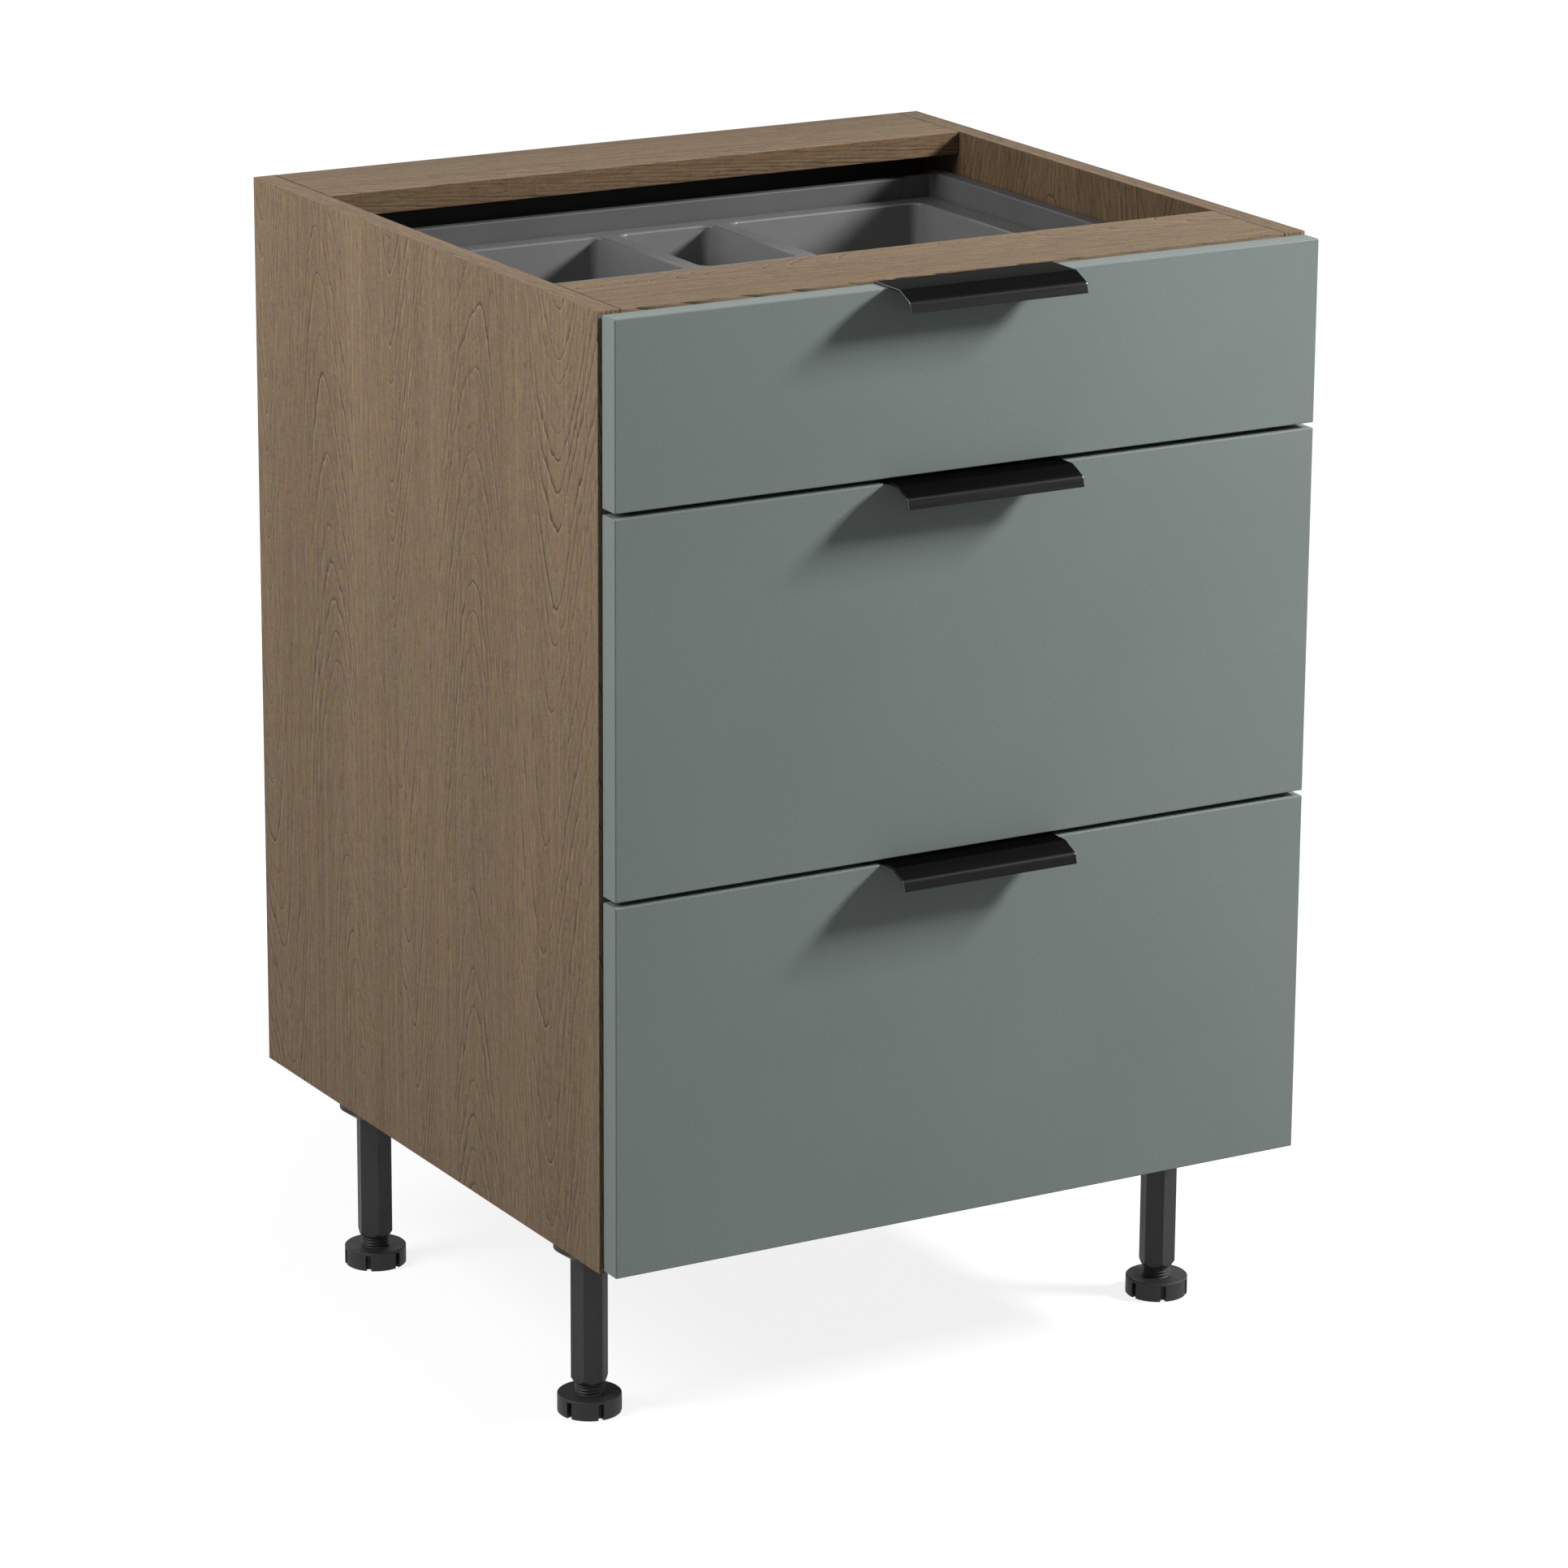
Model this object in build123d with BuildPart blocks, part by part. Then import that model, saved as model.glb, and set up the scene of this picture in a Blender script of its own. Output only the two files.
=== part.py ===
from build123d import *
import os

os.makedirs("parts", exist_ok=True)

# A kitchen drawer base cabinet on four screw-adjusted legs: a board carcass, three steel drawers on
# telescopic runners, painted fronts with edge-pull handles, and a moulded cutlery tray.
# X runs to the right, Y to the back and Z up. The origin is on the floor, under the middle of the box
# that holds the whole cabinet. All sizes are in millimetres.

# Carcass boards
carcass_width = 600
carcass_depth = 560
carcass_height = 720
board = 18
rail_depth = 96
back_thickness = 3
back_inset = 20
groove_depth = 8
groove_clearance = 0.2
board_edge = 0.6

# Knock-down fittings of the carcass
dowel_radius = 4
dowel_in_side = 11
dowel_in_board = 19
bolt_thread_radius = 2.5
bolt_thread_length = 10
bolt_collar_radius = 3.5
bolt_collar_length = 2
bolt_shank_radius = 2.2
bolt_head_radius = 3.2
bolt_head_length = 3
bolt_hole_radius = 4
cam_radius = 7.4
cam_height = 12.3
cam_setback = 24
cam_slot_width = 7.2
cam_key_length = 9
cam_key_width = 1.4
cam_key_depth = 2
fit_clearance = 0.1
bottom_bolt_inset = 40
bottom_dowel_inset = 150
rail_bolt_inset = 30
rail_dowel_spacing = 32

# Legs
leg_height = 150
leg_inset_x = 44.5
leg_inset_y = 99
socket_radius = 27
socket_straight = 18
socket_nose = 7
socket_nose_radius = 17
socket_roof = 3
socket_screw_edge = 6
socket_screw_count = 4
socket_screw_turn = 45
hex_flats = 25
hex_fit = 0.15
shaft_wall = 1
shaft_chamfer_height = 3.5
shaft_end_inset = 0.3
stud_running_gap = 0.3
stud_engagement = 40
stud_chamfer = 1.5
foot_radius = 24.5
foot_height = 15
foot_edge = 0.6
foot_slot_count = 6
foot_slot_width = 4.4
foot_slot_depth = 5
foot_slot_roof = 2
foot_travel_in = 8
foot_clearance = 1.3
hex_turn = {"front_left": 45, "front_right": 15, "back_left": 15, "back_right": 45}
foot_turn = {"front_left": 23, "front_right": 10, "back_left": 50, "back_right": 35}

# Screws
wood_screw_radius = 2
wood_screw_length = 16
wood_screw_head_radius = 3.6
wood_screw_head_height = 2.4
runner_screw_radius = 1.8
runner_screw_length = 13
runner_screw_head_radius = 3.2
runner_screw_front_inset = 37
runner_screw_rear_inset = 58
handle_screw_radius = 1.6
handle_screw_length = 14
handle_screw_head_radius = 3
handle_screw_spacing = 96

# Drawer fronts
front_side_reveal = 2
front_thickness = 19
front_edge = 1
front_gap = 2.5
front_spacing = 4
bottom_reveal = 3
top_reveal = 2
top_front_height = 140
bumper_radius = 4
bumper_clearance = 0.2
bumper_inset = 25

# Handle profile: a rear flange behind the front, a plate on its top edge, a slope and a lip
handle_length = 150
handle_sheet = 1.5
handle_flange = 16
handle_overhang = 14.5
handle_slope_run = 13.5
handle_slope_drop = 6
handle_lip_run = 2
handle_lip_drop = 7.2
handle_rear_bend = 0.7
handle_bend = 2.5

# Steel drawer boxes
side_gap = 4
side_thickness = 13
side_sheet = 1.2
side_lift = 18
side_edge = 1.5
shallow_side_height = 90.5
deep_side_height = 177
drawer_rear_clearance = 49.8
drawer_ledge = 14
drawer_bottom_board = 16
return_flange = 26
return_bend = 3
drawer_back_depth = 8
drawer_back_drop = 3
drawer_back_lip = 14
box_clearance = 0.4

# Front brackets inside the drawer sides
bracket_length = 70
bracket_headroom = 4.1
bracket_clearance = 0.2
bracket_dowel_radius = 4.8
bracket_dowel_length = 10
bracket_dowel_edge = 8

# Telescopic runners
runner_height = 45
runner_sheet = 1.5
runner_lift = 1
runner_setback = 8
runner_rear_setback = 9.2
runner_tip_gap = 1.3
runner_web_gap = 0.5
runner_running_gap = 0.4
runner_headroom = 2
runner_bend = 1

# Cutlery tray
tray_height = 54.5
tray_wall = 2
tray_side_gap = 2
tray_rear_gap = 4
tray_front_gap = 2.5
tray_corner = 10
tray_skirt = 14
tray_side_rim = 23
tray_end_rim = 17
tray_divider = 16
tray_taper = 4
pocket_corner = 9
pocket_edge = 2
long_pocket_width = 176
small_pocket_width = 83.5
rear_pocket_length = 138
lane_count = 3

# Levels and places that follow from the sizes above
inside_x = carcass_width / 2 - board
carcass_floor = leg_height
carcass_top = leg_height + carcass_height
lip_length = (handle_lip_run**2 + handle_lip_drop**2) ** 0.5
handle_reach = (
    handle_overhang + handle_slope_run + handle_lip_run + handle_sheet * handle_lip_drop / lip_length
)
overall_depth = carcass_depth + front_gap + front_thickness + handle_reach
carcass_rear = overall_depth / 2
carcass_front = carcass_rear - carcass_depth
carcass_middle_y = (carcass_front + carcass_rear) / 2
back_face = carcass_rear - back_inset - back_thickness
groove_width = back_thickness + 2 * groove_clearance

front_width = carcass_width - 2 * front_side_reveal
front_back = carcass_front - front_gap
front_face = front_back - front_thickness
lower_front_height = (
    carcass_height - bottom_reveal - top_reveal - 2 * front_spacing - top_front_height
) / 2
bumper_height = front_gap - bumper_clearance

side_outside = inside_x - side_gap
side_inside = side_outside - side_thickness
drawer_end = back_face - drawer_rear_clearance
drawer_rear_face = drawer_end - drawer_back_depth - side_sheet

recess_height = runner_lift + runner_height + runner_headroom
runner_level = side_lift + runner_lift + runner_height / 2
runner_front = carcass_front + runner_setback
runner_end = drawer_end - runner_rear_setback
runner_length = runner_end - runner_front
middle_web = inside_x - runner_sheet - runner_web_gap
inner_web = side_inside + side_sheet
inner_tip = middle_web - runner_sheet - runner_web_gap
runner_depth = middle_web - inner_web - runner_sheet - runner_tip_gap
bracket_height = shallow_side_height - recess_height - 2 * side_sheet - bracket_headroom
bracket_dowel_spacing = bracket_height - 2 * bracket_dowel_edge

socket_screw_circle = socket_radius - socket_screw_edge
stud_radius = hex_flats / 2 - shaft_wall - stud_running_gap
shaft_end_radius = hex_flats / 2 - shaft_end_inset
shaft_clear_of_floor = foot_height + foot_travel_in + foot_clearance

bottom_front = carcass_floor + bottom_reveal
middle_front = bottom_front + lower_front_height + front_spacing
top_front = middle_front + lower_front_height + front_spacing

# Name, lower edge of the front, height of the front and height of the drawer sides
drawers = [
    ("bottom", bottom_front, lower_front_height, deep_side_height),
    ("middle", middle_front, lower_front_height, deep_side_height),
    ("top", top_front, top_front_height, shallow_side_height),
]

# Name and axis of each leg
leg_x = carcass_width / 2 - leg_inset_x
legs = [
    ("front_left", -leg_x, carcass_front + leg_inset_y),
    ("front_right", leg_x, carcass_front + leg_inset_y),
    ("back_left", -leg_x, carcass_rear - leg_inset_y),
    ("back_right", leg_x, carcass_rear - leg_inset_y),
]

# Where dowels and cam bolts cross from the sides into the ends of the bottom and the rails
bottom_middle_z = carcass_floor + board / 2
rail_middle_z = carcass_top - board / 2
rear_rail_front = carcass_rear - rail_depth
bottom_bolts = [
    (carcass_front + bottom_bolt_inset, bottom_middle_z),
    (carcass_rear - bottom_bolt_inset, bottom_middle_z),
]
bottom_dowels = [
    (carcass_front + bottom_dowel_inset, bottom_middle_z),
    (carcass_rear - bottom_dowel_inset, bottom_middle_z),
]
front_rail_bolts = [(carcass_front + rail_bolt_inset, rail_middle_z)]
front_rail_dowels = [(carcass_front + rail_bolt_inset + rail_dowel_spacing, rail_middle_z)]
rear_rail_bolts = [(rear_rail_front + rail_bolt_inset, rail_middle_z)]
rear_rail_dowels = [(rear_rail_front + rail_bolt_inset + rail_dowel_spacing, rail_middle_z)]
all_bolts = bottom_bolts + front_rail_bolts + rear_rail_bolts
all_dowels = bottom_dowels + front_rail_dowels + rear_rail_dowels


def save(piece, name):
    """Label a finished piece and write it to its own file."""
    piece.part.label = name
    export_step(piece.part, f"parts/{name}.step")


def fitting_holes(bolts, dowels, cam_face):
    """Cut one board's right end for its dowels and cam bolts, and its underside for the cams."""
    dowel_depth = dowel_in_board + fit_clearance
    with Locations(*[(inside_x - dowel_depth / 2, y, z) for y, z in dowels]):
        Cylinder(dowel_radius + fit_clearance, dowel_depth, rotation=(0, 90, 0), mode=Mode.SUBTRACT)
    with Locations(*[(inside_x - cam_setback / 2, y, z) for y, z in bolts]):
        Cylinder(bolt_hole_radius, cam_setback, rotation=(0, 90, 0), mode=Mode.SUBTRACT)
    with Locations(*[(inside_x - cam_setback, y, cam_face) for y, z in bolts]):
        Cylinder(
            cam_radius + fit_clearance,
            cam_height + fit_clearance,
            align=(Align.CENTER, Align.CENTER, Align.MIN),
            mode=Mode.SUBTRACT,
        )


def both_ends():
    """Give the left half of a board the same cuts as its right half."""
    split(bisect_by=Plane.YZ, keep=Keep.TOP)
    mirror(about=Plane.YZ)


# Side panels: grooved for the back, drilled for the bottom, the rails and the runners
first_screw = carcass_front + runner_screw_front_inset
last_screw = runner_end - runner_screw_rear_inset
runner_screw_rows = [first_screw, (first_screw + last_screw) / 2, last_screw]
runner_screw_places = [
    (y, lower_edge + runner_level)
    for drawer, lower_edge, front_height, side_height in drawers
    for y in runner_screw_rows
]
groove_bottom = carcass_floor + board - groove_depth
groove_top = carcass_top - board + groove_depth

with BuildPart() as right_side_panel:
    with BuildSketch(Plane.YZ.offset(inside_x)):
        with Locations((carcass_middle_y, carcass_floor)):
            Rectangle(carcass_depth, carcass_height, align=(Align.CENTER, Align.MIN))
    extrude(amount=board)
    fillet(right_side_panel.edges(), radius=board_edge)
    with BuildSketch(Plane.YZ.offset(inside_x)):
        with Locations((back_face - groove_clearance, groove_bottom)):
            Rectangle(groove_width, groove_top - groove_bottom, align=(Align.MIN, Align.MIN))
    extrude(amount=groove_depth, mode=Mode.SUBTRACT)
    dowel_depth = dowel_in_side + fit_clearance
    with Locations(*[(inside_x + dowel_depth / 2, y, z) for y, z in all_dowels]):
        Cylinder(dowel_radius + fit_clearance, dowel_depth, rotation=(0, 90, 0), mode=Mode.SUBTRACT)
    bolt_depth = bolt_thread_length + fit_clearance
    with Locations(*[(inside_x + bolt_depth / 2, y, z) for y, z in all_bolts]):
        Cylinder(bolt_thread_radius + fit_clearance, bolt_depth, rotation=(0, 90, 0), mode=Mode.SUBTRACT)
    screw_depth = runner_screw_length - runner_sheet + fit_clearance
    with Locations(*[(inside_x + screw_depth / 2, y, z) for y, z in runner_screw_places]):
        Cylinder(runner_screw_radius + fit_clearance, screw_depth, rotation=(0, 90, 0), mode=Mode.SUBTRACT)
save(right_side_panel, "right_side_panel")

with BuildPart() as left_side_panel:
    mirror(right_side_panel.part, about=Plane.YZ)
save(left_side_panel, "left_side_panel")

# Bottom panel, with the groove for the back and the pilot holes of the leg screws
socket_screw_depth = wood_screw_length - socket_roof
with BuildPart() as carcass_bottom:
    with Locations((0, carcass_middle_y, carcass_floor)):
        Box(2 * inside_x, carcass_depth, board, align=(Align.CENTER, Align.CENTER, Align.MIN))
    with Locations((0, back_face - groove_clearance, groove_bottom)):
        Box(
            2 * inside_x,
            groove_width,
            groove_depth,
            align=(Align.CENTER, Align.MIN, Align.MIN),
            mode=Mode.SUBTRACT,
        )
    fitting_holes(bottom_bolts, bottom_dowels, carcass_floor)
    for corner, x, y in legs:
        if x > 0:
            with Locations((x, y, carcass_floor)):
                with PolarLocations(socket_screw_circle, socket_screw_count, start_angle=socket_screw_turn):
                    Cylinder(
                        wood_screw_radius + fit_clearance,
                        socket_screw_depth + fit_clearance,
                        align=(Align.CENTER, Align.CENTER, Align.MIN),
                        mode=Mode.SUBTRACT,
                    )
    both_ends()
save(carcass_bottom, "carcass_bottom")

# Top rails, laid flat between the sides; the rear one is grooved underneath for the back
rail_underside = carcass_top - board
with BuildPart() as front_top_rail:
    with Locations((0, carcass_front, rail_underside)):
        Box(2 * inside_x, rail_depth, board, align=(Align.CENTER, Align.MIN, Align.MIN))
    fillet(front_top_rail.edges().filter_by(Axis.X), radius=board_edge)
    fitting_holes(front_rail_bolts, front_rail_dowels, rail_underside)
    both_ends()
save(front_top_rail, "front_top_rail")

with BuildPart() as rear_top_rail:
    with Locations((0, rear_rail_front, rail_underside)):
        Box(2 * inside_x, rail_depth, board, align=(Align.CENTER, Align.MIN, Align.MIN))
    fillet(rear_top_rail.edges().filter_by(Axis.X), radius=board_edge)
    with Locations((0, back_face - groove_clearance, rail_underside)):
        Box(
            2 * inside_x,
            groove_width,
            groove_depth,
            align=(Align.CENTER, Align.MIN, Align.MIN),
            mode=Mode.SUBTRACT,
        )
    fitting_holes(rear_rail_bolts, rear_rail_dowels, rail_underside)
    both_ends()
save(rear_top_rail, "rear_top_rail")

# Thin back, held all round in the grooves
back_width = 2 * (inside_x + groove_depth - groove_clearance)
back_height = groove_top - groove_bottom - 2 * groove_clearance
with BuildPart() as back_panel:
    with Locations((0, back_face, groove_bottom + groove_clearance)):
        Box(back_width, back_thickness, back_height, align=(Align.CENTER, Align.MIN, Align.MIN))
save(back_panel, "back_panel")

# Knock-down fittings: dowels, cam bolts and the cams that draw them in
with BuildPart() as carcass_dowels:
    with Locations(*[(inside_x - dowel_in_board, y, z) for y, z in all_dowels]):
        Cylinder(
            dowel_radius,
            dowel_in_side + dowel_in_board,
            rotation=(0, 90, 0),
            align=(Align.CENTER, Align.CENTER, Align.MIN),
        )
    mirror(about=Plane.YZ)
save(carcass_dowels, "carcass_dowels")

bolt_reach = cam_setback + bolt_head_length / 2
with BuildPart() as cam_bolts:
    for y, z in all_bolts:
        with BuildSketch(Plane(origin=(inside_x, y, z), x_dir=(-1, 0, 0), z_dir=(0, -1, 0))):
            with BuildLine():
                Polyline(
                    (-bolt_thread_length, 0),
                    (-bolt_thread_length, bolt_thread_radius),
                    (0, bolt_thread_radius),
                    (0, bolt_collar_radius),
                    (bolt_collar_length, bolt_collar_radius),
                    (bolt_collar_length, bolt_shank_radius),
                    (bolt_reach - bolt_head_length, bolt_shank_radius),
                    (bolt_reach - bolt_head_length, bolt_head_radius),
                    (bolt_reach, bolt_head_radius),
                    (bolt_reach, 0),
                    close=True,
                )
            make_face()
        revolve(axis=Axis((0, y, z), (1, 0, 0)))
    mirror(about=Plane.YZ)
save(cam_bolts, "cam_bolts")

with BuildPart() as cam_locks:
    cam_places = [(y, carcass_floor, z) for y, z in bottom_bolts]
    cam_places += [(y, rail_underside, z) for y, z in front_rail_bolts + rear_rail_bolts]
    for y, face, z in cam_places:
        with Locations((inside_x - cam_setback, y, face)):
            Cylinder(cam_radius, cam_height, align=(Align.CENTER, Align.CENTER, Align.MIN))
            Box(
                cam_key_length,
                cam_key_width,
                cam_key_depth,
                align=(Align.CENTER, Align.CENTER, Align.MIN),
                mode=Mode.SUBTRACT,
            )
            Box(
                cam_key_width,
                cam_key_length,
                cam_key_depth,
                align=(Align.CENTER, Align.CENTER, Align.MIN),
                mode=Mode.SUBTRACT,
            )
        with Locations((inside_x - bolt_reach - fit_clearance, y, z)):
            Box(
                bolt_reach,
                cam_slot_width,
                cam_slot_width,
                align=(Align.MIN, Align.CENTER, Align.CENTER),
                mode=Mode.SUBTRACT,
            )
    mirror(about=Plane.YZ)
save(cam_locks, "cam_locks")

# Stop bumpers on the front edges of the sides, two for each end of each front
with BuildPart() as stop_bumpers:
    for drawer, lower_edge, front_height, side_height in drawers:
        for z in (lower_edge + bumper_inset, lower_edge + front_height - bumper_inset):
            with Locations((inside_x + board / 2, carcass_front, z)):
                Cylinder(
                    bumper_radius,
                    bumper_height,
                    rotation=(90, 0, 0),
                    align=(Align.CENTER, Align.CENTER, Align.MIN),
                )
    mirror(about=Plane.YZ)
save(stop_bumpers, "stop_bumpers")

# Runner screws, countersunk flush in the cabinet members
with BuildPart() as runner_screws:
    for y, z in runner_screw_places:
        with BuildSketch(Plane(origin=(inside_x, y, z), x_dir=(1, 0, 0), z_dir=(0, -1, 0))):
            with BuildLine():
                Polyline(
                    (-runner_sheet, 0),
                    (-runner_sheet, runner_screw_head_radius),
                    (0, runner_screw_radius),
                    (runner_screw_length - runner_sheet, runner_screw_radius),
                    (runner_screw_length - runner_sheet, 0),
                    close=True,
                )
            make_face()
        revolve(axis=Axis((0, y, z), (1, 0, 0)))
    mirror(about=Plane.YZ)
save(runner_screws, "runner_screws")

# Legs: a cup under the bottom panel, a hexagonal shaft in it, and a slotted foot on a threaded stud
socket_low = carcass_floor - socket_straight - socket_nose
shaft_top = carcass_floor - socket_roof
stud_top = shaft_clear_of_floor + stud_engagement
bore_top = stud_top + foot_travel_in + stud_chamfer
hex_corner = hex_flats / 3**0.5
shaft_flare = (hex_corner - shaft_end_radius) / shaft_chamfer_height

for corner, x, y in legs:
    with BuildPart() as leg_socket:
        with Locations((x, y, carcass_floor)):
            Cylinder(socket_radius, socket_straight, align=(Align.CENTER, Align.CENTER, Align.MAX))
        with Locations((x, y, socket_low)):
            Cone(
                socket_nose_radius,
                socket_radius,
                socket_nose,
                align=(Align.CENTER, Align.CENTER, Align.MIN),
            )
        with BuildSketch(Plane.XY.offset(socket_low)):
            with Locations((x, y)):
                RegularPolygon(hex_corner + hex_fit, 6, rotation=hex_turn[corner])
        extrude(amount=shaft_top - socket_low, mode=Mode.SUBTRACT)
        with Locations(Plane(origin=(x, y, socket_low), z_dir=(0, 0, -1))):
            with PolarLocations(socket_screw_circle, socket_screw_count, start_angle=socket_screw_turn):
                CounterBoreHole(
                    wood_screw_radius + fit_clearance,
                    wood_screw_head_radius + fit_clearance,
                    socket_straight + socket_nose - socket_roof,
                    socket_straight + socket_nose,
                )
    save(leg_socket, f"{corner}_leg_socket")

    with BuildPart() as leg_shaft:
        with BuildSketch(Plane.XY.offset(shaft_clear_of_floor)):
            with Locations((x, y)):
                RegularPolygon(hex_corner, 6, rotation=hex_turn[corner])
        extrude(amount=shaft_top - shaft_clear_of_floor)
        with Locations((x, y, shaft_clear_of_floor)):
            Cone(
                shaft_end_radius,
                shaft_end_radius + shaft_flare * (shaft_top - shaft_clear_of_floor),
                shaft_top - shaft_clear_of_floor,
                align=(Align.CENTER, Align.CENTER, Align.MIN),
                mode=Mode.INTERSECT,
            )
        with Locations((x, y, shaft_clear_of_floor)):
            Cylinder(
                stud_radius + stud_running_gap,
                bore_top - shaft_clear_of_floor,
                align=(Align.CENTER, Align.CENTER, Align.MIN),
                mode=Mode.SUBTRACT,
            )
    save(leg_shaft, f"{corner}_leg_shaft")

    with BuildPart() as levelling_foot:
        with Locations((x, y, 0)):
            Cylinder(foot_radius, foot_height, align=(Align.CENTER, Align.CENTER, Align.MIN))
        chamfer(levelling_foot.edges().filter_by(GeomType.CIRCLE), length=foot_edge)
        with Locations((x, y, 0)):
            with PolarLocations(foot_radius, foot_slot_count, start_angle=foot_turn[corner]):
                Box(
                    2 * foot_slot_depth,
                    foot_slot_width,
                    foot_height - foot_slot_roof,
                    align=(Align.CENTER, Align.CENTER, Align.MIN),
                    mode=Mode.SUBTRACT,
                )
        with Locations((x, y, foot_height)):
            Cylinder(
                stud_radius,
                stud_top - foot_height,
                align=(Align.CENTER, Align.CENTER, Align.MIN),
            )
        chamfer(levelling_foot.edges().group_by(Axis.Z)[-1], length=stud_chamfer)
    save(levelling_foot, f"{corner}_foot")

# Leg screws, driven up through the cups into the bottom panel
with BuildPart() as leg_screws:
    for corner, x, y in legs:
        with Locations((x, y, shaft_top)):
            with PolarLocations(socket_screw_circle, socket_screw_count, start_angle=socket_screw_turn):
                Cylinder(
                    wood_screw_head_radius,
                    wood_screw_head_height,
                    align=(Align.CENTER, Align.CENTER, Align.MAX),
                )
                Cylinder(
                    wood_screw_radius,
                    wood_screw_length,
                    align=(Align.CENTER, Align.CENTER, Align.MIN),
                )
save(leg_screws, "leg_screws")


def channel(web_x, tip_x, middle_z, height):
    """Section of a folded channel on the right-hand runner, with its web at web_x and its tips at tip_x."""
    width = abs(tip_x - web_x)
    toward_tip = 1 if tip_x > web_x else -1
    with Locations(((web_x + tip_x) / 2, middle_z)):
        RectangleRounded(width, height, runner_bend)
        with Locations((toward_tip * runner_sheet, 0)):
            Rectangle(width, height - 2 * runner_sheet, mode=Mode.SUBTRACT)


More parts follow.
